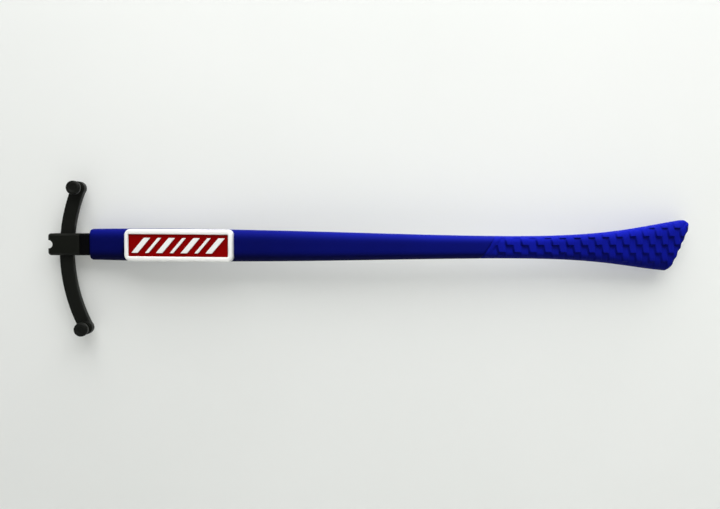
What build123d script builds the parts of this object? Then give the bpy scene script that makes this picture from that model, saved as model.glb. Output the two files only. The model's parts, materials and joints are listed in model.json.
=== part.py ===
"""Left temple arm of interchangeable-lens sport glasses.

Frame: worn pose, millimetres. +Z up, +X back to the ear, +Y inward to the head, so the outer
side faces -Y. The origin is on the axis of the half-round lens notch in the hinge block.
"""

import os

from build123d import *

# Hinge: a vertical screw on the inner side, through two outer knuckles and a centre one
hinge_x = 6.2
knuckle_radius = 1.3
centre_knuckle_height = 1.5
washer_thickness = 0.2
washer_radius = 1.2
washer_clearance = 0.04      # between a washer and the outer knuckle over it
screw_radius = 0.6
running_clearance = 0.03     # radial, hinge screw in its bush
insert_radius = 0.9          # outside of the bush and of the threaded insert
screw_head_radius = 0.95
screw_head_height = 0.5
screw_slot = (0.3, 0.25)     # width and depth
butt_gap = 0.05              # between the block and the tongue, on the outer side
fold_gap = 0.12              # around each knuckle

# Hinge block
block_front_x = -0.15
block_half_height = 2.2
block_outer_y = -3.0
block_inner_y = 0.2
block_corner = 0.6
block_chamfer = 0.4
notch_radius = 0.85

# Claw: a curved bar with a boss and a post at each end
claw_centre = (37.2, -1.65)  # centre of the bar's arc, X and Z
claw_radius = 34.2
upper_boss_angle = 22.3      # from the foremost point of the arc
lower_boss_angle = 26.8
bar_width = 2.6
bar_outer_y = -1.8
bar_inner_y = -0.45
bar_edge = 0.2
boss_radius = 1.38
boss_outer_y = -1.95
boss_edge = 0.1
claw_screw_x = 3.0
claw_screw_spacing = 2.2
claw_screw_radius = 0.4
claw_screw_head_radius = 0.75
claw_screw_head_height = 0.5
claw_screw_length = 1.8

# Lens posts, riveted through the bosses
head_radius = 1.4
head_height = 1.1
head_edge = 0.25
dish_radius = 0.9
dish_depth = 0.12
neck_radius = 0.75
rivet_radius = 1.0
rivet_height = 0.3
lens_gap = 1.3               # room for the lens, between the collar and the head
collar_radius = 1.15
collar_thickness = 0.2

# Arm
tongue_length = 1.9
tongue_outer_y = -2.85
tongue_inner_y = 1.2
tongue_edge = 0.3
arm_front_x = hinge_x + tongue_length
arm_middle_x = 68.0
arm_end_x = 132.0            # the plan curves run on past the slanted tip
arm_half_width = 10.0        # more than the arm's bow or height, for the stock it is cut from
arm_bow = 5.0                # how far the middle stands outward of the two ends
thickness_front = 4.3
thickness_middle = 3.3
thickness_tip = 3.6
bow_ends = [(1, -0.13), (1, 0.19)]  # plan directions of the arm at its front and its tip
outline = [(arm_front_x, 3.12), (38.9, 3.16), (62.8, 2.72), (90.0, 2.24), (103.1, 2.44), (112.5, 3.14)]
upper_flare = [(120.2, 4.2), (126.5, 5.3), (130.75, 5.75)]
lower_flare = [(120.2, 4.15), (125.95, 4.8)]
front_corner = 0.8
lower_tip_corner = 1.2
upper_tip_corner = 1.6
outer_edge_round = 0.75
inner_edge_round = 1.0
seam_bottom_x = 86.4         # where sleeve and ear grip meet, on a slant
seam_top_x = 89.3
seam_half_height = 2.2

# Spine and wire inside the arm
spine_half_height = 1.35
spine_half_thickness = 0.9
spine_end_x = 104.0
wire_half_height = 0.5       # the wire is flat, and bends with the arm's bow
wire_half_thickness = 0.4
wire_front_x = 14.0
wire_end_x = 108.0

# Badge
badge_x = 26.82
badge_size = (21.85, 6.4)
badge_proud = 1.2
badge_corner = 1.2
badge_edge = 0.15
panel_size = (20.15, 4.4)
panel_corner = 0.25
panel_depth = 0.75
inlay_thickness = 0.35
emblem_height = 0.3
stripe_widths = [1.3, 0.7, 1.3, 0.7, 1.3, 0.7, 1.3]
stripe_pitch = 2.5
stripe_height = 3.0
stripe_lean = 2.6            # how far a stripe's upper end lies behind its lower end
tape_size = (18.0, 2.4)
tape_thickness = 0.12

# Worked out from the values above
arm_centre_y = (tongue_outer_y + tongue_inner_y) / 2
knuckle_top = centre_knuckle_height / 2
outer_knuckle_start = knuckle_top + washer_thickness + washer_clearance
washer_bore = screw_radius + running_clearance
head_back_y = boss_outer_y - collar_thickness - lens_gap

os.makedirs("parts", exist_ok=True)


def save(piece, name):
    """Label a finished piece and write it as its own STEP file."""
    piece.part.label = name
    export_step(piece.part, f"parts/{name}.step")


def hinge_level(height):
    """Horizontal plane with its origin on the hinge axis."""
    return Plane(origin=(hinge_x, 0, height))


def facing_out(y, x=0.0, z=0.0):
    """Plane across the Y axis that faces the outer side, with its own x and y along X and Z."""
    return Plane(origin=(x, y, z), x_dir=(1, 0, 0), z_dir=(0, -1, 0))


def plan_curve(offset):
    """Plan curve of the arm, offset inward from its centre: (front, middle, tip)."""
    front, middle, tip = offset
    return Spline(
        (arm_front_x, arm_centre_y + front),
        (arm_middle_x, arm_centre_y - arm_bow + middle),
        (arm_end_x, arm_centre_y + tip),
        tangents=bow_ends,
    )


def along(x):
    """How far along a plan curve x lies, from 0 at the front to 1."""
    return (x - arm_front_x) / (arm_end_x - arm_front_x)


def arm_strip(half_thickness, half_height, start_x=arm_front_x, end_x=arm_end_x):
    """Strip along the arm's plan curve; half_thickness is (front, middle, tip)."""
    with BuildPart() as strip:
        with BuildSketch(Plane.XY.offset(-half_height)):
            with BuildLine():
                outer = plan_curve([-half for half in half_thickness])
                inner = plan_curve(half_thickness)
                Line(outer @ 0, inner @ 0)
                Line(outer @ 1, inner @ 1)
            make_face()
            with Locations((start_x, 0)):
                Rectangle(
                    end_x - start_x, 2 * arm_half_width, align=(Align.MIN, Align.CENTER), mode=Mode.INTERSECT
                )
        extrude(amount=2 * half_height)
    return strip


arm_half_thickness = [thickness / 2 for thickness in (thickness_front, thickness_middle, thickness_tip)]
with BuildLine() as outer_line:
    plan_curve([-half for half in arm_half_thickness])
with BuildLine() as bar_line:
    bar_arc = CenterArc(
        claw_centre, claw_radius, 180 - upper_boss_angle, upper_boss_angle + lower_boss_angle
    )
upper_boss = (bar_arc @ 0).X, (bar_arc @ 0).Y
lower_boss = (bar_arc @ 1).X, (bar_arc @ 1).Y

# Arm form, shared by the sleeve and the ear grip: the side outline cut to the bowed plan
with BuildPart() as arm_form:
    with BuildSketch(Plane.XZ.offset(-arm_half_width)) as side_view:
        with BuildLine():
            top = Spline(*outline, *upper_flare)
            bottom = Spline(*[(x, -z) for x, z in outline + lower_flare])
            Line(top @ 0, bottom @ 0)
            Line(top @ 1, bottom @ 1)
        make_face()
        fillet(side_view.vertices().sort_by(Axis.X)[:2], front_corner)
        fillet(side_view.vertices().sort_by(Axis.X)[-1], upper_tip_corner)
        fillet(side_view.vertices().group_by(Axis.Y)[0], lower_tip_corner)
    extrude(amount=2 * arm_half_width)
    add(arm_strip(arm_half_thickness, arm_half_width).part, mode=Mode.INTERSECT)
    for side, radius in ((0, outer_edge_round), (1, inner_edge_round)):
        broad_faces = arm_form.faces().sort_by(SortBy.AREA)[-2:].sort_by(Axis.Y)
        fillet(broad_faces[side].edges(), radius)

# ---------------------------------------------------------------- temple body

core_wire = arm_strip([wire_half_thickness] * 3, wire_half_height, wire_front_x, wire_end_x)
save(core_wire, "core_wire")

with BuildPart() as temple_core:
    # Tongue, cut clear of the two outer knuckles
    with BuildSketch(hinge_level(-block_half_height)):
        with Locations((butt_gap, tongue_outer_y)):
            Rectangle(
                tongue_length - butt_gap, tongue_inner_y - tongue_outer_y, align=(Align.MIN, Align.MIN)
            )
    extrude(amount=2 * block_half_height)
    outer_face = temple_core.faces().sort_by(Axis.Y)[0]
    chamfer(outer_face.edges().filter_by(Axis.X), tongue_edge)
    with BuildSketch(hinge_level(knuckle_top), hinge_level(-knuckle_top).rotated((180, 0, 0))):
        Circle(knuckle_radius + fold_gap)
    extrude(amount=block_half_height, mode=Mode.SUBTRACT)
    # Centre knuckle
    with BuildSketch(hinge_level(-knuckle_top)):
        Circle(knuckle_radius)
    extrude(amount=centre_knuckle_height)
    # Spine
    add(arm_strip([spine_half_thickness] * 3, spine_half_height, end_x=spine_end_x).part)
    with BuildSketch(hinge_level(-knuckle_top)):
        Circle(insert_radius)
    extrude(amount=centre_knuckle_height, mode=Mode.SUBTRACT)
    add(core_wire.part, mode=Mode.SUBTRACT)
save(temple_core, "temple_core")

with BuildPart() as temple_sleeve:
    add(arm_form.part)
    seam = Plane(
        origin=((seam_bottom_x + seam_top_x) / 2, 0, 0),
        x_dir=(0, 1, 0),
        z_dir=(2 * seam_half_height, 0, seam_bottom_x - seam_top_x),
    )
    split(bisect_by=seam, keep=Keep.BOTTOM)
    add(temple_core.part, mode=Mode.SUBTRACT)
    add(core_wire.part, mode=Mode.SUBTRACT)
save(temple_sleeve, "temple_sleeve")

with BuildPart() as ear_grip:
    add(arm_form.part)
    split(bisect_by=seam, keep=Keep.TOP)
    add(temple_core.part, mode=Mode.SUBTRACT)
    add(core_wire.part, mode=Mode.SUBTRACT)
save(ear_grip, "ear_grip")

with BuildPart() as hinge_bush:
    with BuildSketch(hinge_level(-knuckle_top)):
        Circle(insert_radius)
        Circle(washer_bore, mode=Mode.SUBTRACT)
    extrude(amount=centre_knuckle_height)
save(hinge_bush, "hinge_bush")


def hinge_washer(start):
    """Thin washer in one of the two gaps between the knuckles."""
    with BuildPart() as washer:
        with BuildSketch(hinge_level(start)):
            Circle(washer_radius)
            Circle(washer_bore, mode=Mode.SUBTRACT)
        extrude(amount=washer_thickness)
    return washer


upper_hinge_washer = hinge_washer(knuckle_top)
save(upper_hinge_washer, "upper_hinge_washer")
lower_hinge_washer = hinge_washer(-knuckle_top - washer_thickness)
save(lower_hinge_washer, "lower_hinge_washer")

# ---------------------------------------------------------------- badge, on the arm's outer side

badge_spot = outer_line.edge() @ along(badge_x)
badge_direction = outer_line.edge() % along(badge_x)
badge_out = badge_direction.rotate(Axis.Z, -90)


def badge_level(height):
    """Plane parallel to the arm's outer face under the badge, that far above it."""
    return Plane(origin=badge_spot + badge_out * height, x_dir=badge_direction, z_dir=badge_out)


with BuildPart() as badge_tape:
    with BuildSketch(badge_level(-outer_edge_round)):
        Rectangle(*tape_size)
    extrude(amount=outer_edge_round + tape_thickness)
    add(arm_form.part, mode=Mode.SUBTRACT)
save(badge_tape, "badge_tape")

panel_level = badge_proud - panel_depth
with BuildPart() as badge_frame:
    with BuildSketch(badge_level(-outer_edge_round)):
        RectangleRounded(*badge_size, badge_corner)
    extrude(amount=outer_edge_round + badge_proud)
    top_face = badge_frame.faces().sort_by(Axis(badge_spot, badge_out))[-1]
    fillet(top_face.edges(), badge_edge)
    with BuildSketch(badge_level(panel_level)):
        RectangleRounded(*panel_size, panel_corner)
    extrude(amount=panel_depth, mode=Mode.SUBTRACT)
    add(arm_form.part, mode=Mode.SUBTRACT)
    add(badge_tape.part, mode=Mode.SUBTRACT)
save(badge_frame, "badge_frame")

with BuildPart() as badge_inlay:
    with BuildSketch(badge_level(panel_level)):
        RectangleRounded(*panel_size, panel_corner)
    extrude(amount=inlay_thickness)
save(badge_inlay, "badge_inlay")

with BuildPart() as badge_emblem:
    with BuildSketch(badge_level(panel_level + inlay_thickness)):
        for place, width in enumerate(stripe_widths):
            middle = (place - (len(stripe_widths) - 1) / 2) * stripe_pitch
            low_x = middle - (width + stripe_lean) / 2
            high_x = low_x + stripe_lean
            Polygon(
                (low_x, -stripe_height / 2), (low_x + width, -stripe_height / 2),
                (high_x + width, stripe_height / 2), (high_x, stripe_height / 2),
                align=None,
            )
    extrude(amount=emblem_height)
save(badge_emblem, "badge_emblem")

# ---------------------------------------------------------------- lens claw body

claw_screw_places = [(claw_screw_x, side * claw_screw_spacing / 2) for side in (1, -1)]
with BuildPart() as claw_screws:
    with BuildSketch(facing_out(bar_inner_y)):
        with Locations(*claw_screw_places):
            Circle(claw_screw_radius)
    extrude(amount=claw_screw_length)
    with BuildSketch(facing_out(bar_inner_y + claw_screw_head_height)):
        with Locations(*claw_screw_places):
            Circle(claw_screw_head_radius)
    extrude(amount=claw_screw_head_height)
    with BuildSketch(facing_out(bar_inner_y + claw_screw_head_height)):
        with Locations(*claw_screw_places):
            Rectangle(2 * claw_screw_head_radius, screw_slot[0])
    extrude(amount=screw_slot[1], mode=Mode.SUBTRACT)
save(claw_screws, "claw_screws")

with BuildPart() as claw_bar:
    with BuildSketch(facing_out(bar_inner_y)):
        SlotArc(bar_arc, bar_width)
    extrude(amount=bar_inner_y - bar_outer_y)
    fillet(claw_bar.faces().sort_by(Axis.Y)[0].edges(), bar_edge)
    with BuildSketch(facing_out(bar_inner_y)):
        with Locations(upper_boss, lower_boss):
            Circle(boss_radius)
    extrude(amount=bar_inner_y - boss_outer_y)
    chamfer(claw_bar.faces().group_by(Axis.Y)[0].edges(), boss_edge)
    with BuildSketch(facing_out(bar_inner_y)):
        with Locations(upper_boss, lower_boss):
            Circle(neck_radius)
    extrude(amount=bar_inner_y - boss_outer_y, mode=Mode.SUBTRACT)
    add(claw_screws.part, mode=Mode.SUBTRACT)
save(claw_bar, "claw_bar")


def post_collar(boss):
    """Collar on the outer face of a boss, that the lens rests against."""
    with BuildPart() as collar:
        with BuildSketch(facing_out(boss_outer_y, *boss)):
            Circle(collar_radius)
            Circle(neck_radius, mode=Mode.SUBTRACT)
        extrude(amount=collar_thickness)
    return collar


def lens_post(boss):
    """Headed post through a boss, riveted over on the inner side."""
    with BuildPart() as post:
        with BuildSketch(facing_out(bar_inner_y + rivet_height, *boss)):
            Circle(rivet_radius)
        extrude(amount=rivet_height)
        with BuildSketch(facing_out(bar_inner_y, *boss)):
            Circle(neck_radius)
        extrude(amount=bar_inner_y - head_back_y)
        with BuildSketch(facing_out(head_back_y, *boss)):
            Circle(head_radius)
        extrude(amount=head_height)
        fillet(post.faces().sort_by(Axis.Y)[0].edges(), head_edge)
        with BuildSketch(facing_out(head_back_y - head_height, *boss)):
            Circle(dish_radius)
        extrude(amount=-dish_depth, mode=Mode.SUBTRACT)
    return post


upper_post_collar = post_collar(upper_boss)
save(upper_post_collar, "upper_post_collar")
lower_post_collar = post_collar(lower_boss)
save(lower_post_collar, "lower_post_collar")
upper_lens_post = lens_post(upper_boss)
save(upper_lens_post, "upper_lens_post")
lower_lens_post = lens_post(lower_boss)
save(lower_lens_post, "lower_lens_post")

with BuildPart() as hinge_insert:
    with BuildSketch(hinge_level(-block_half_height)):
        Circle(insert_radius)
        Circle(screw_radius, mode=Mode.SUBTRACT)
    extrude(amount=block_half_height - outer_knuckle_start)
save(hinge_insert, "hinge_insert")

with BuildPart() as hinge_screw:
    with BuildSketch(hinge_level(-block_half_height)):
        Circle(screw_radius)
    extrude(amount=2 * block_half_height)
    with BuildSketch(hinge_level(block_half_height)):
        Circle(screw_head_radius)
    extrude(amount=-screw_head_height)
    with BuildSketch(hinge_level(block_half_height)):
        Rectangle(2 * screw_head_radius, screw_slot[0])
    extrude(amount=-screw_slot[1], mode=Mode.SUBTRACT)
save(hinge_screw, "hinge_screw")

with BuildPart() as hinge_block:
    with BuildSketch(facing_out(block_inner_y)):
        with Locations((block_front_x, 0)):
            Rectangle(
                hinge_x - block_front_x, 2 * block_half_height, align=(Align.MIN, Align.CENTER)
            )
    extrude(amount=block_inner_y - block_outer_y)
    fillet(hinge_block.edges().filter_by(Axis.Y).group_by(Axis.X)[0], block_corner)
    outer_face = hinge_block.faces().sort_by(Axis.Y)[0]
    chamfer(outer_face.edges().sort_by(Axis.X)[:-1], block_chamfer)
    # Outer knuckles, and the slot between them that the centre knuckle turns in
    with BuildSketch(hinge_level(-block_half_height)):
        Circle(knuckle_radius)
    extrude(amount=2 * block_half_height)
    with BuildSketch(hinge_level(-outer_knuckle_start)):
        Circle(knuckle_radius + fold_gap)
    extrude(amount=2 * outer_knuckle_start, mode=Mode.SUBTRACT)
    with BuildSketch(facing_out(block_inner_y)):
        Circle(notch_radius)
    extrude(amount=block_inner_y - block_outer_y, mode=Mode.SUBTRACT)
    # Channel that the bar is laid into from the inner side
    with BuildSketch(facing_out(block_inner_y)):
        SlotArc(bar_arc, bar_width)
    extrude(amount=block_inner_y - bar_inner_y, mode=Mode.SUBTRACT)
    for piece in (claw_bar, claw_screws, hinge_insert, hinge_screw):
        add(piece.part, mode=Mode.SUBTRACT)
save(hinge_block, "hinge_block")
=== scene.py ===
"""Looks of an eyewear temple arm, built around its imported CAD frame.

Shapes are worked out in millimetres, in the CAD frame: +X back to the ear, +Y inward, +Z up as
worn, with the outer side facing -Y. The outlines come from the CAD nodes themselves.
"""
import json
import math

import bmesh
import bpy
import numpy as np
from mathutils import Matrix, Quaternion, Vector
from mathutils.bvhtree import BVHTree

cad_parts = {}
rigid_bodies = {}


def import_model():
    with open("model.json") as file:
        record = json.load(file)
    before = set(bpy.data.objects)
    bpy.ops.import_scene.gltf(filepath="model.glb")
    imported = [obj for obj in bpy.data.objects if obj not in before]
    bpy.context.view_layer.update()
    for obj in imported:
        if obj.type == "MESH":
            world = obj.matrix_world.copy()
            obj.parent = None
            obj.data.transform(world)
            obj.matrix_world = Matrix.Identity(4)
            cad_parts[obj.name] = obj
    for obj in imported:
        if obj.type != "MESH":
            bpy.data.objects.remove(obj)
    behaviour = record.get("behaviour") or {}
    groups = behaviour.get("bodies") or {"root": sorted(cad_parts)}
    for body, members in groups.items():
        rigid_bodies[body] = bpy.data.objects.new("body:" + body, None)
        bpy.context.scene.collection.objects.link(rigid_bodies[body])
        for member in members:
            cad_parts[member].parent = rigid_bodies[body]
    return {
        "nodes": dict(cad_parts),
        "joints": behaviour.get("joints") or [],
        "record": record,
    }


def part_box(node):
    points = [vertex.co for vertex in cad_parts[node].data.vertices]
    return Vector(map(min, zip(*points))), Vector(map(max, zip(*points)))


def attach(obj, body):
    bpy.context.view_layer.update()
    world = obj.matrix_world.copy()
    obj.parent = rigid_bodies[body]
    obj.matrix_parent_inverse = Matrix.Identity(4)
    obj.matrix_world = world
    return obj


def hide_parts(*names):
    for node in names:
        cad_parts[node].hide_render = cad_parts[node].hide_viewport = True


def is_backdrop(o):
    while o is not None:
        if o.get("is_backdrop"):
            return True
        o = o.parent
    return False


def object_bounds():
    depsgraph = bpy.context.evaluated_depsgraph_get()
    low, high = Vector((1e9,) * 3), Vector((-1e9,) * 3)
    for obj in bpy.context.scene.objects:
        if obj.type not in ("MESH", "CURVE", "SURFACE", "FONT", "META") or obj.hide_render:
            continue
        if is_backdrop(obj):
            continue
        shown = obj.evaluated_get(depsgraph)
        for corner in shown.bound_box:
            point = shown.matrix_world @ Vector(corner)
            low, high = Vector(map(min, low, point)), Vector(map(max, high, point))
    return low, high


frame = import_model()
cad_low, cad_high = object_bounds()
nodes = frame["nodes"]

MM = 0.001
joint = frame["joints"][0]
hinge_x = joint["pos_m"][0] / MM


def box_mm(node):
    """Lowest and highest corner of a CAD node, in millimetres."""
    low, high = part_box(node)
    return low / MM, high / MM


def points_mm(node):
    """The vertices of a CAD node, in millimetres."""
    return np.array([vertex.co / MM for vertex in nodes[node].data.vertices])


# ------------------------------------------------------------------ skins and curves


def ring_skin(rings, loop=False):
    """Points and faces through equal rings: capped at both ends, or looped back to the first."""
    count = len(rings[0])
    points = [point for ring in rings for point in ring]
    faces = []
    for i in range(len(rings) if loop else len(rings) - 1):
        here, there = i * count, (i + 1) % len(rings) * count
        for j in range(count):
            k = (j + 1) % count
            faces.append((here + j, here + k, there + k, there + j))
    if not loop:
        last = (len(rings) - 1) * count
        faces += [tuple(range(count)), tuple(range(last, last + count))]
    return points, faces


def slab_skin(outer, inner):
    """Points and faces of a slab between two matching grids of points, rows of columns."""
    rows, columns = len(outer), len(outer[0])
    size = rows * columns
    points = [tuple(point) for grid in (outer, inner) for row in grid for point in row]
    faces = []
    for side in (0, size):
        for i in range(rows - 1):
            for j in range(columns - 1):
                here = side + i * columns + j
                faces.append((here, here + 1, here + columns + 1, here + columns))
    rim = [(0, j) for j in range(columns)]
    rim += [(i, columns - 1) for i in range(1, rows)]
    rim += [(rows - 1, j) for j in range(columns - 2, -1, -1)]
    rim += [(i, 0) for i in range(rows - 2, 0, -1)]
    rim = [i * columns + j for i, j in rim]
    for here, there in zip(rim, rim[1:] + rim[:1]):
        faces.append((here, there, there + size, here + size))
    return points, faces


def new_piece(name, skin, body, slot, stands_for):
    """A closed, smooth-shaded mesh that rides on a body in the place of a CAD node.

    skin: points in millimetres and faces; slot: the material slot, and the name of its look.
    """
    points, faces = skin
    mesh = bpy.data.meshes.new(name)
    mesh.from_pydata([tuple(MM * c for c in point) for point in points], [], faces)
    work = bmesh.new()
    work.from_mesh(mesh)
    bmesh.ops.remove_doubles(work, verts=work.verts, dist=1e-7)
    bmesh.ops.recalc_face_normals(work, faces=work.faces)
    work.to_mesh(mesh)
    work.free()
    mesh.shade_smooth()
    mesh.materials.append(looks[slot])
    piece = bpy.data.objects.new(name, mesh)
    bpy.context.scene.collection.objects.link(piece)
    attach(piece, body)
    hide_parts(stands_for)
    return piece


def quarter_turn(steps):
    """Angles from 0 to 90 degrees, in even steps."""
    return [math.pi / 2 * step / steps for step in range(steps + 1)]


def rounded(distance, radius):
    """How far a rounded-over rim has fallen away, at a distance in from the edge."""
    inside = np.clip(radius - distance, 0, radius)
    return radius - np.sqrt(np.maximum(radius**2 - inside**2, 0))


def rim_steps(length, first_round, last_round, middle_count):
    """Distances from 0 to length, close together where each end is rounded over."""
    turn = 1 - np.cos(quarter_turn(5))
    middle = np.linspace(first_round, length - last_round, middle_count)[1:-1]
    return np.concatenate([first_round * turn, middle, (length - last_round * turn)[::-1]])


def smoothstep(low, high, value):
    """0 at low, 1 at high, and a soft ramp between; low may be the greater of the two."""
    t = np.clip((value - low) / (high - low), 0, 1)
    return t * t * (3 - 2 * t)


# ------------------------------------------------------------------ the arm's form, read off the CAD

sleeve_low, sleeve_high = box_mm("temple_sleeve")
grip_low, grip_high = box_mm("ear_grip")

ray_start = 40          # how far out the rays start that find the arm's sides
sample_count = 48
first_sample = 1.6      # behind the sleeve's front
face_end = 125          # X where the samples of the outer and inner faces end, before the tip
top_end = 127
bottom_end = 123.5
curve_degree = 9
gauge_x = 90            # where the arm's height is taken for the seam's lean
tip_heights = (-1.5, 2.5)


def node_tree(node):
    """A CAD node's surface in millimetres, ready for rays."""
    mesh = nodes[node].data
    polygons = [polygon.vertices for polygon in mesh.polygons]
    return BVHTree.FromPolygons([vertex.co / MM for vertex in mesh.vertices], polygons)


arm_trees = [node_tree("temple_sleeve"), node_tree("ear_grip")]


def arm_hit(start, way):
    """Where a ray first meets the sleeve or the ear grip."""
    hits = [tree.ray_cast(Vector(start), Vector(way)) for tree in arm_trees]
    hits = [(distance, place) for place, _, _, distance in hits if place is not None]
    return min(hits, key=lambda hit: hit[0])[1]


def fitted(places, values):
    """A smooth curve through samples, carried on straight past both ends."""
    curve = np.polynomial.Chebyshev.fit(places, values, curve_degree)
    slope = curve.deriv()
    low, high = min(places), max(places)

    def value(x):
        inside = np.clip(x, low, high)
        return curve(inside) + slope(inside) * (x - inside)

    return value


def side_curve(end, ray_from, way, axis):
    """A smooth curve along one side of the arm, sampled up to an X.

    ray_from: gives the start of the ray at an X; axis: the coordinate that is read off its hit.
    """
    places = np.linspace(sleeve_low.x + first_sample, end, sample_count)
    return fitted(places, [arm_hit(ray_from(x), way)[axis] for x in places])


outer_y = side_curve(face_end, lambda x: (x, -ray_start, 0), (0, 1, 0), 1)
inner_y = side_curve(face_end, lambda x: (x, ray_start, 0), (0, -1, 0), 1)


def middle_y(x):
    """Y halfway through the arm's thickness."""
    return (outer_y(x) + inner_y(x)) / 2


top_z = side_curve(top_end, lambda x: (x, middle_y(x), ray_start), (0, 0, -1), 2)
bottom_z = side_curve(bottom_end, lambda x: (x, middle_y(x), -ray_start), (0, 0, 1), 2)


def find_tip_line():
    """X at zero height and lean of the slanted tip, from two rays cast at it from behind."""
    low_z, high_z = tip_heights
    start_x, start_y = grip_high.x + ray_start, middle_y(grip_high.x)
    low_x, high_x = (arm_hit((start_x, start_y, z), (-1, 0, 0)).x for z in tip_heights)
    lean = (high_x - low_x) / (high_z - low_z)
    return low_x - lean * low_z, lean


# Slanted lines across the arm: X at zero height, and lean in X for each millimetre of height
seam_lean = (sleeve_high.x - grip_low.x) / (top_z(gauge_x) - bottom_z(gauge_x))
front_line = (sleeve_low.x, 0.0)
seam_line = ((sleeve_high.x + grip_low.x) / 2, seam_lean)
tip_line = find_tip_line()

crown_outer = 1.1       # how far the outer face falls away towards its long edges
crown_inner = 0.6
crown_power = 5
rim_round = 0.45        # of the long edges
front_round = 0.28
seam_round = 0.1
tip_round = 0.5


def edge_height(edge, x0, lean):
    """Z where a slanted line crosses the top or the bottom edge."""
    z = 0.0
    for _ in range(8):
        z = float(edge(x0 + lean * z))
    return z


def corner_pull(from_line, from_edge, corner):
    """How far X and Z are drawn in, so that a square corner of a grid fills a quarter disc."""
    away_x = np.maximum(corner - from_line, 0)
    away_z = np.maximum(corner - from_edge, 0)
    both = np.maximum(np.hypot(away_x, away_z), 1e-9)
    share = 1 - np.maximum(away_x, away_z) / both
    return away_x * share, away_z * share


def arm_skin(start, end, rows, columns, rounds, corners, inset=0.0, relief=None, wave=None):
    """Points and faces of a stretch of the arm between two slanted lines.

    rounds: of the start and the end. corners: radii at the start's bottom and top, then the end's.
    inset: how far its faces lie inside the sampled ones. relief: height of the surface at an X, a Z
    and a distance from the rim. wave: how far the end line is cut back.
    """
    length = end[0] - start[0]
    outer, inner = [], []
    for share in rim_steps(length, *rounds, rows) / length:
        x0 = start[0] + share * length
        lean = start[1] + share * (end[1] - start[1])
        low, high = edge_height(bottom_z, x0, lean), edge_height(top_z, x0, lean)
        height = high - low
        up = rim_steps(height, rim_round, rim_round, columns)
        from_start, from_end = share * length, (1 - share) * length
        from_edge = np.minimum(up, height - up)
        upper = up > height / 2
        z = low + up
        shift = np.zeros_like(z)
        for from_line, pair, sense in ((from_start, corners[:2], 1), (from_end, corners[2:], -1)):
            pull_x, pull_z = corner_pull(from_line, from_edge, np.where(upper, pair[1], pair[0]))
            shift = shift + sense * pull_x
            z = z - np.where(upper, pull_z, -pull_z)
        x = x0 + lean * z + shift
        if wave:
            x = x - wave(z, from_end)
        fall = (
            rounded(from_edge, rim_round)
            + rounded(from_start, rounds[0])
            + rounded(from_end, rounds[1])
        )
        distance = np.minimum(np.minimum(from_start, from_end), from_edge)
        lift = relief(x, z, distance) if relief else 0.0
        crown = np.abs(2 * up / height - 1) ** crown_power
        y_out = outer_y(x) + inset - lift + crown_outer * crown + fall
        y_in = inner_y(x) - inset + lift - crown_inner * crown - fall
        outer.append(np.stack([x, y_out, z], axis=1))
        inner.append(np.stack([x, y_in, z], axis=1))
    return slab_skin(outer, inner)


# ------------------------------------------------------------------ scales of the ear grip

scale_height = 0.32                  # of a scale's crest above its foot
row_start, row_end = 1.42, 1.70      # half of a scale's height, at the seam and at the flare
row_grows = (0.35, 0.8)              # over this share of the grip's length
column_start, column_end = 1.60, 1.34    # width of a column, at the seam and at the tip
first_edge = 0.22                    # where the lowest edge of an even column falls, in rows
scale_lean = 0.36                    # of a column, towards the lower edge
lean_pivot = 0.6                     # where on a scale the lean leaves it in its column
cliff = 0.13                         # width of the step at a scale's side, as a share of a column
edge_cliff = 0.091                   # of the step at its lower edge, as a share of two rows
smooth_start = (1.0, 1.6)            # behind the seam, where the scales rise out of an even stretch
even_level = 0.55                    # height of that stretch, as a share of a scale's
rim_fade = (0.05, 0.55)              # distance from the rim over which the scales reach full height
rim_level = 0.35                     # what is left of them at the rim
scallop_depth = 0.2                  # of the waves that the rows leave along the tip
scallop_reach = 1.5                  # how far in from the tip the waves die out


def scale_relief(x, z, distance):
    """Shingle-like scales: staggered columns, each scale rising towards its lower edge.

    Zero is the crest of a scale, and all else lies below it.
    """
    from_seam = x - seam_line[0]
    grip_length = grip_high.x - seam_line[0]
    row = row_start + (row_end - row_start) * smoothstep(*row_grows, from_seam / grip_length)
    taper = (column_start - column_end) / grip_length
    column = -np.log(1 - taper * from_seam / column_start) / taper
    whole = np.floor(column)
    height = np.zeros_like(x)
    for this in (whole - 1, whole, whole + 1):
        stagger = np.where(this % 2 == 0, 0.0, 1.0)
        part = ((z / row - first_edge + stagger) / 2) % 1.0    # 0 at its lower edge, 1 at the next
        side = column - this - scale_lean * (lean_pivot - part)
        inside = smoothstep(0, cliff, side) * smoothstep(0, cliff, 1 - side)
        edge = smoothstep(0, edge_cliff, part)
        height = np.maximum(height, inside * edge * (1 - part))
    begin = smoothstep(*smooth_start, from_seam - seam_line[1] * z)
    level = even_level + (height - even_level) * begin
    fade = smoothstep(*rim_fade, distance)
    return scale_height * (level * (rim_level + (1 - rim_level) * fade) - 1)


def tip_wave(z, from_end):
    """Small scallops that the rows of scales leave along the slanted tip."""
    wave = 0.5 - 0.5 * np.cos(2 * math.pi * z / row_end)
    return scallop_depth * wave * smoothstep(scallop_reach, 0.0, from_end)


# ------------------------------------------------------------------ materials


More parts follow.
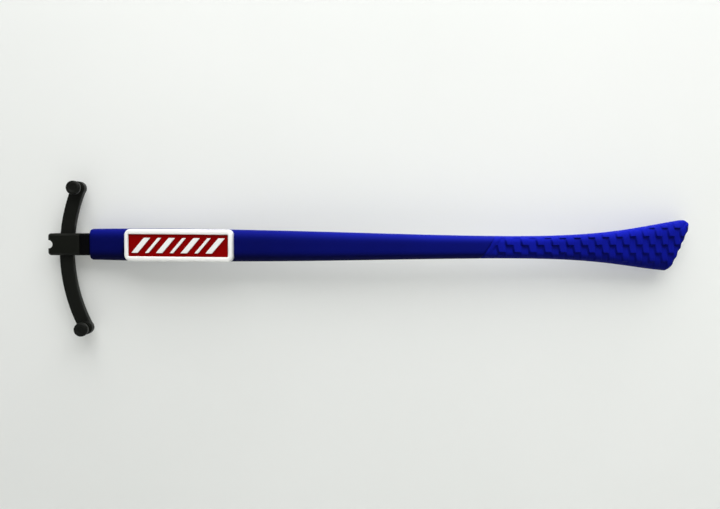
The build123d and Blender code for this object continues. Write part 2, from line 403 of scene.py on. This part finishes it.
class Nodes:
    """Short calls to put a material's nodes together."""

    def __init__(self, name):
        self.material = bpy.data.materials.new(name)
        self.material.use_nodes = True
        self.tree = self.material.node_tree
        self.surface = self.tree.nodes["Principled BSDF"]
        self.place = self.tree.nodes.new("ShaderNodeTexCoord").outputs["Object"]

    def add(self, kind, inputs=(), **settings):
        """A node of a kind, with its settings and its inputs by name or number."""
        node = self.tree.nodes.new("ShaderNode" + kind)
        for key, value in settings.items():
            setattr(node, key, value)
        for key, value in dict(inputs).items():
            if isinstance(value, bpy.types.NodeSocket):
                self.tree.links.new(value, node.inputs[key])
            else:
                node.inputs[key].default_value = value
        return node

    def noise(self, size_mm, detail=3.0, roughness=0.55):
        """Noise whose features are about size_mm across."""
        node = self.add(
            "TexNoise",
            {"Vector": self.place, "Scale": 1 / (size_mm * MM), "Detail": detail, "Roughness": roughness},
        )
        return node.outputs["Fac"]

    def ramp(self, value, *stops):
        """A ramp between two (position, colour) stops."""
        node = self.add("ValToRGB", {"Fac": value})
        for element, (position, colour) in zip(node.color_ramp.elements, stops):
            element.position = position
            element.color = (*colour, 1)
        return node.outputs["Color"]

    def spread(self, value, to_low, to_high, low=0.0, high=1.0, **settings):
        """A value between low and high mapped onto to_low to to_high."""
        limits = {"From Min": low, "From Max": high, "To Min": to_low, "To Max": to_high}
        return self.add("MapRange", {"Value": value, **limits}, **settings).outputs["Result"]

    def bump(self, value, height_mm):
        """A bump whose full swing is height_mm."""
        inputs = {"Height": value, "Distance": height_mm * MM, "Strength": 1.0}
        return self.add("Bump", inputs).outputs["Normal"]

    def set(self, **inputs):
        """Principled inputs, with _ for a space in their names."""
        for key, value in inputs.items():
            socket = self.surface.inputs[key.replace("_", " ")]
            if isinstance(value, bpy.types.NodeSocket):
                self.tree.links.new(value, socket)
            else:
                socket.default_value = value
        return self.material


flow_mm = 9.0           # size of the faint flow marks of moulded pieces
smudge_mm = 3.5         # and of the patches of uneven gloss
gloss_swing = 0.06


def moulded(name, colour, roughness, grain_mm, grain_height_mm, variation=0.08, specular=0.5, paler=None):
    """Moulded plastic or rubber: fine grain, faint flow marks, uneven gloss, and where given a ramp of
    painted light.

    paler: (from X, to X, times) in millimetres, where painted light lifts the colour towards the back.
    """
    n = Nodes(name)
    darker = tuple(c * (1 - variation) for c in colour)
    lighter = tuple(min(1.0, c * (1 + variation)) for c in colour)
    base = n.ramp(n.noise(flow_mm, 2.0), (0.3, darker), (0.7, lighter))
    if paler:
        start, stop, times = paler
        x = n.add("SeparateXYZ", {"Vector": n.place}).outputs["X"]
        # Painted light: the colour is scaled up along X, for the stronger light towards the back
        lift = n.spread(x, 1.0, times, start * MM, stop * MM)
        base = n.add("VectorMath", {0: base, "Scale": lift}, operation="SCALE").outputs["Vector"]
    return n.set(
        Base_Color=base,
        Roughness=n.spread(n.noise(smudge_mm), roughness - gloss_swing, roughness + gloss_swing),
        Normal=n.bump(n.noise(grain_mm, 4.0, 0.6), grain_height_mm),
        Specular_IOR_Level=specular,
    )


def metal(name, colour, roughness):
    """Turned metal with fine scratches."""
    n = Nodes(name)
    scratch = n.noise(0.12, 4.0, 0.7)
    return n.set(
        Base_Color=n.ramp(scratch, (0.25, tuple(c * 0.85 for c in colour)), (0.75, colour)),
        Metallic=1.0,
        Roughness=n.spread(scratch, roughness - 0.08, roughness + 0.1),
        Normal=n.bump(scratch, 0.004),
    )


# Colour, roughness, size and height of the grain in mm, variation, specular level, paler stretch of painted
# light
moulded_looks = {
    # The sleeve's blue gets painted light: it turns paler towards the back, where more light falls
    "blue_sleeve": ((0.0004, 0.0009, 0.0285), 0.6, 0.18, 0.006, 0.05, 0.04, (20, 88, 1.85)),
    "blue_grip": ((0.0014, 0.0032, 0.120), 0.65, 0.12, 0.008, 0.07, 0.04),
    "black_nylon": ((0.0032, 0.0038, 0.0023), 0.5, 0.14, 0.008, 0.1, 0.11),
    # painted shade: the core's black is darkened for the shade it lies in
    "shaded_black_core": ((0.0007, 0.0007, 0.0011), 0.42, 0.14, 0.008, 0.1, 0.05),
    "black_claw": ((0.0036, 0.0042, 0.0029), 0.46, 0.16, 0.007, 0.1, 0.13),
    "white_frame": ((0.79, 0.79, 0.77), 0.34, 0.2, 0.004, 0.02),
    "red_panel": ((0.21, 0.0002, 0.0003), 0.45, 0.16, 0.006, 0.08, 0.03),
    "adhesive": ((0.5, 0.5, 0.48), 0.8, 0.2, 0.02),
    "white_nylon": ((0.7, 0.7, 0.66), 0.5, 0.1, 0.004),
}
metal_looks = {
    "steel": ((0.56, 0.56, 0.57), 0.3),
    "brass": ((0.72, 0.52, 0.24), 0.32),
}
looks = {name: moulded(name, *values) for name, values in moulded_looks.items()}
looks.update({name: metal(name, *values) for name, values in metal_looks.items()})

# ------------------------------------------------------------------ sleeve and ear grip

sleeve_inset = 0.1
sleeve_rows, sleeve_columns = 110, 34
sleeve_corners = (0.38, 0.38, 0.1, 0.1)
grip_rows, grip_columns = ((380, 84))
grip_corners = (0.1, 0.1, 0.9, 2.3)

sleeve_skin = arm_skin(
    front_line, seam_line, sleeve_rows, sleeve_columns, (front_round, seam_round), sleeve_corners,
    sleeve_inset,
)
sleeve_piece = new_piece("sleeve_shell", sleeve_skin, "temple", "blue_sleeve", "temple_sleeve")

grip_skin = arm_skin(
    seam_line, tip_line, grip_rows, grip_columns, (seam_round, tip_round), grip_corners,
    relief=scale_relief, wave=tip_wave,
)
grip_piece = new_piece("scaled_grip", grip_skin, "temple", "blue_grip", "ear_grip")

# ------------------------------------------------------------------ badge frame

frame_corner = 1.25     # radii of its outline and of its opening
panel_corner = 0.25
outer_turn = 0.42       # how far the rail is rounded over, outside and inside
inner_turn = 0.22


def badge_surround():
    """The rounded rail around the badge, square to the panel in it."""
    panel_points = points_mm("badge_inlay")
    centre = panel_points.mean(axis=0)
    long_way, tall_way, out_way = np.linalg.svd(panel_points - centre)[2]
    long_way *= np.sign(long_way[0])
    tall_way *= np.sign(tall_way[2])
    out_way *= -np.sign(out_way[1])

    def spans(node):
        """Lowest and highest reach of a node along the badge's long, tall and outward ways."""
        along = (points_mm(node) - centre) @ np.stack([long_way, tall_way, out_way]).T
        return along.min(axis=0), along.max(axis=0)

    def ring(half, corner, height):
        """A rounded rectangle of points, at a height above the panel's middle."""
        points = []
        for quarter, (side_x, side_z) in enumerate(((1, 1), (-1, 1), (-1, -1), (1, -1))):
            for angle in quarter_turn(10):
                turn = math.pi / 2 * quarter + angle
                across = side_x * (half[0] - corner) + corner * math.cos(turn)
                tall = side_z * (half[1] - corner) + corner * math.sin(turn)
                points.append(tuple(centre + long_way * across + tall_way * tall + out_way * height))
        return points

    frame_low, frame_high = spans("badge_frame")
    panel_low, panel_high = spans("badge_inlay")
    frame_half = (frame_high - frame_low)[:2] / 2
    panel_half = (panel_high - panel_low)[:2] / 2
    rail = frame_half[0] - panel_half[0]
    top = frame_high[2]
    profile = [(0.0, frame_low[2]), (0.0, 0.0)]      # way in from the outside, and height
    for angle in quarter_turn(7):
        profile.append((outer_turn * (1 - math.cos(angle)), top - outer_turn * (1 - math.sin(angle))))
    for angle in quarter_turn(6):
        profile.append((rail - inner_turn * (1 - math.sin(angle)), top - inner_turn * (1 - math.cos(angle))))
    profile += [(rail, panel_low[2]), (rail, frame_low[2])]
    rings = []
    for inward, height in profile:
        share = inward / rail
        half = frame_half + share * (panel_half - frame_half)
        rings.append(ring(half, frame_corner + share * (panel_corner - frame_corner), height))
    new_piece("badge_surround", ring_skin(rings, loop=True), "temple", "white_frame", "badge_frame")


badge_surround()

# ------------------------------------------------------------------ lens posts, turned

neck_radius = 0.75
rivet_radius = 1.0
rivet_thickness = 0.3
rivet_chamfer = 0.12
button_thickness = 1.1
button_back_round = 0.2
button_face_round = 0.42
dish_depth = 0.14
dish_slope = 0.45       # share of the flat face's radius over which the dish falls
post_sides = 40
axis_radius = 1e-3      # keeps the outline's ends just off the axis, so that their rings can be capped


def turned_post(name, node):
    """A post with a rounded button head, a neck and a riveted end, in the place of its CAD node."""
    low, high = box_mm(node)
    radius = (high.x - low.x) / 2
    outline = [       # radius and Y, from the riveted end to the button
        (0.0, high.y),
        (rivet_radius - rivet_chamfer, high.y),
        (rivet_radius, high.y - rivet_chamfer),
        (rivet_radius, high.y - rivet_thickness),
        (neck_radius, high.y - rivet_thickness),
        (neck_radius, low.y + button_thickness),
    ]
    back = low.y + button_thickness
    for angle in quarter_turn(4):
        fall_in, fall_back = 1 - math.sin(angle), 1 - math.cos(angle)
        outline.append((radius - button_back_round * fall_in, back - button_back_round * fall_back))
    for angle in quarter_turn(7):
        fall_in, fall_back = 1 - math.cos(angle), 1 - math.sin(angle)
        outline.append((radius - button_face_round * fall_in, low.y + button_face_round * fall_back))
    for share in np.linspace(0, 1, 9)[1:]:
        dish = dish_depth * smoothstep(0.0, dish_slope, share)
        outline.append(((radius - button_face_round) * (1 - share), low.y + dish))
    centre_x, centre_z = (low.x + high.x) / 2, (low.z + high.z) / 2
    turns = [2 * math.pi * side / post_sides for side in range(post_sides)]
    rings = []
    for out, y in outline:
        r = max(out, axis_radius)
        rings.append([(centre_x + r * math.cos(turn), y, centre_z + r * math.sin(turn)) for turn in turns])
    new_piece(name, ring_skin(rings), "lens_claw", "black_claw", node)


turned_post("upper_button_post", "upper_lens_post")
turned_post("lower_button_post", "lower_lens_post")

# ------------------------------------------------------------------ CAD nodes that stay

slots = {entry["node"]: entry["material_slot"] for entry in frame["record"]["subparts"]}
soft_edges = {
    "hinge_block": 0.12,
    "claw_bar": 0.06,
    "temple_core": 0.1,
    "badge_emblem": 0.09,
    "upper_post_collar": 0.04,
    "lower_post_collar": 0.04,
    "claw_screws": 0.04,
    "hinge_screw": 0.04,
}
weld_reach = 0.002      # joins the mesh's split vertices, so that its edges can be bevelled
sharp_edge = 35         # degrees


def soften(node, width):
    """Round a CAD node's sharp edges over, with modifiers only."""
    weld = node.modifiers.new("weld", "WELD")
    weld.merge_threshold = weld_reach * MM
    bevel = node.modifiers.new("soft_edges", "BEVEL")
    bevel.width = width * MM
    bevel.segments = 3
    bevel.limit_method = "ANGLE"
    bevel.angle_limit = math.radians(sharp_edge)
    bevel.harden_normals = True


for node_name, node in nodes.items():
    node.data.materials.clear()
    # Painted shade: the core gets a deeper black than the block and the bar, for the shade it lies in
    node.data.materials.append(looks["shaded_black_core" if node_name == "temple_core" else slots[node_name]])
    if node_name in soft_edges:
        soften(node, soft_edges[node_name])

# ------------------------------------------------------------------ stage: a pale table

table_y = cad_high.y + 0.15 * MM      # the worn arm's inner side rests on it, so it stands upright here
table_low_z = -120 * MM
cove_radius = 45 * MM
stage_half = 900 * MM
draw_back_reach = 6.0 * MM            # how far it draws back while the claw folds
room_colour = (0.80, 0.82, 0.79, 1)
painted_table_glow = (0.07, 0.20)             # painted light: a glow that lifts its shadows; from the lower front to the upper back
glow_way = (0.45, 0.0, 0.89)          # which way it rises, over glow_reach either side of the middle
glow_reach = 50 * MM
fade_reach = (180 * MM, 420 * MM)     # from the arm's front end, where it fades into the room


def table_look():
    """Pale and matt, with a faint painted glow that lifts its shadows; unseen from behind and far out."""
    n = Nodes("table")
    stops = ((0.3, (0.80, 0.815, 0.79)), (0.7, (0.82, 0.832, 0.81)))
    rise = n.add("VectorMath", {0: n.place, 1: glow_way}, operation="DOT_PRODUCT").outputs["Value"]
    n.set(
        Base_Color=n.ramp(n.noise(60, 2.0), *stops),
        Roughness=0.75,
        Specular_IOR_Level=0.15,
        Emission_Color=room_colour,
        # Painted light: the glow is brighter towards the upper back
        Emission_Strength=n.spread(rise, *painted_table_glow, -glow_reach, glow_reach),
    )
    far = n.add("VectorMath", {0: n.place}, operation="LENGTH").outputs["Value"]
    faded = n.spread(far, 0.0, 1.0, *fade_reach, interpolation_type="SMOOTHSTEP")
    behind = n.add("NewGeometry").outputs["Backfacing"]
    unseen = n.add("Math", {0: behind, 1: faded}, operation="MAXIMUM").outputs["Value"]
    clear = n.add("BsdfTransparent").outputs["BSDF"]
    mix = n.add("MixShader", {0: unseen, 1: n.surface.outputs["BSDF"], 2: clear})
    n.tree.links.new(mix.outputs["Shader"], n.tree.nodes["Material Output"].inputs["Surface"])
    return n.material


def table():
    """The table, curving into a floor far below. It draws back as the claw folds towards it."""
    profile = [(0.0, stage_half)]
    for angle in quarter_turn(12):
        out, down = 1 - math.cos(angle), 1 - math.sin(angle)
        profile.append((-cove_radius * out, table_low_z + cove_radius * down))
    profile.append((-stage_half, table_low_z))
    count = len(profile)
    points = [(x, y, z) for x in (-stage_half, stage_half) for y, z in profile]
    faces = [(i, i + 1, i + count + 1, i + count) for i in range(count - 1)]
    mesh = bpy.data.meshes.new("table")
    mesh.from_pydata(points, [], faces)
    mesh.shade_smooth()
    mesh.materials.append(table_look())
    stage = bpy.data.objects.new("table", mesh)
    stage.location.y = table_y
    bpy.context.scene.collection.objects.link(stage)
    stage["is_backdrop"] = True
    draw_back = stage.constraints.new("TRANSFORM")
    draw_back.target = nodes["hinge_block"].parent
    draw_back.map_from = "ROTATION"
    draw_back.from_min_z_rot = math.radians(-joint["range_deg"][1])
    draw_back.from_max_z_rot = 0
    draw_back.map_to_y_from = "Z"
    draw_back.map_to = "LOCATION"
    draw_back.to_min_y = draw_back_reach
    draw_back.to_max_y = 0


table()

# ------------------------------------------------------------------ lights


def group(name, pieces):
    """A collection for a light to be linked with."""
    linked = bpy.data.collections.new(name)
    for piece in pieces:
        linked.objects.link(piece)
    return linked


def area_light(name, direction, distance_mm, size_mm, watts, only_on=(), blockers=()):
    """A soft rectangular light, aimed at the middle of the arm from a direction.

    only_on: the pieces it lights, without shine; all of the scene if there are none.
    blockers: the pieces that cast its shadows; all of the scene if there are none.
    """
    lamp = bpy.data.lights.new(name, "AREA")
    lamp.shape = "RECTANGLE"
    lamp.size, lamp.size_y = (side * MM for side in size_mm)
    lamp.energy = watts
    holder = bpy.data.objects.new(name, lamp)
    bpy.context.scene.collection.objects.link(holder)
    target = Vector(((hinge_x + grip_high.x) / 2, 0, 0)) * MM
    holder.location = target + Vector(direction).normalized() * distance_mm * MM
    holder.rotation_euler = (target - holder.location).to_track_quat("-Z", "Y").to_euler()
    if only_on:
        holder.light_linking.receiver_collection = group(name + "_lights", only_on)
        holder.visible_glossy = False
    if blockers:
        holder.light_linking.blocker_collection = group(name + "_blockers", blockers)


from_above = (0.2, -0.03, 0.98)
soft_panel, edge_strip = (360, 360), (380, 20)
object_pieces = [o for o in bpy.context.scene.objects if o.type == "MESH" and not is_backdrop(o)]
area_light("window", (0.12, -0.50, 0.86), 310, soft_panel, 1.12)
area_light("sleeve_edge_light", from_above, 430, edge_strip, 33.0, [sleeve_piece])
area_light("grip_edge_light", from_above, 430, edge_strip, 14.0, [grip_piece])
area_light("inner_side_light", (0.1, 0.85, 0.5), 340, soft_panel, 1.6, object_pieces, object_pieces)

room_light = (0.338, 0.342)      # what the room sheds, from below and from above
room_up = Vector((0.5, 0.3, 0.8)).normalized()


def pale_room():
    """A world light that is all but even; the camera sees the room in its own, paler colour.

    The trace of a gradient matters: an even room is sampled another way, and comes out brighter.
    """
    world = bpy.data.worlds.new("pale_room")
    bpy.context.scene.world = world
    world.use_nodes = True
    tree = world.node_tree
    rise = tree.nodes.new("ShaderNodeVectorMath")
    rise.operation = "DOT_PRODUCT"
    rise.inputs[1].default_value = room_up
    tree.links.new(tree.nodes.new("ShaderNodeTexCoord").outputs["Generated"], rise.inputs[0])
    level = tree.nodes.new("ShaderNodeMapRange")
    level.inputs["From Min"].default_value = -1.0
    level.inputs["To Min"].default_value, level.inputs["To Max"].default_value = room_light
    tree.links.new(rise.outputs["Value"], level.inputs["Value"])
    mix = tree.nodes.new("ShaderNodeMix")
    mix.data_type = "RGBA"
    shed, seen = (socket for socket in mix.inputs if socket.type == "RGBA")
    seen.default_value = room_colour
    tree.links.new(level.outputs["Result"], shed)
    tree.links.new(tree.nodes.new("ShaderNodeLightPath").outputs["Is Camera Ray"], mix.inputs["Factor"])
    mixed = next(socket for socket in mix.outputs if socket.type == "RGBA")
    tree.links.new(mixed, tree.nodes["Background"].inputs["Color"])


pale_room()

# ------------------------------------------------------------------ camera

focal_in_widths = 0.94                # focal length, in widths of the picture
camera_place_mm = (60.3, -139.8, 5.45)
yaw, pitch, roll = 0.97, -3.0, 0.35   # degrees: to the right, down, and turned anticlockwise
camera_data = bpy.data.cameras.new("camera")
camera_data.sensor_width = 36
camera_data.lens = camera_data.sensor_width * focal_in_widths
camera_data.clip_start = 0.005
camera = bpy.data.objects.new("camera", camera_data)
bpy.context.scene.collection.objects.link(camera)
camera.location = Vector(camera_place_mm) * MM
camera.rotation_mode = "QUATERNION"
camera.rotation_quaternion = (
    Quaternion((0, 0, 1), math.radians(-yaw))
    @ Quaternion((1, 0, 0), math.radians(90 + pitch))
    @ Quaternion((0, 0, 1), math.radians(roll))
)
bpy.context.scene.camera = camera
bpy.context.scene.view_settings.view_transform = "Standard"
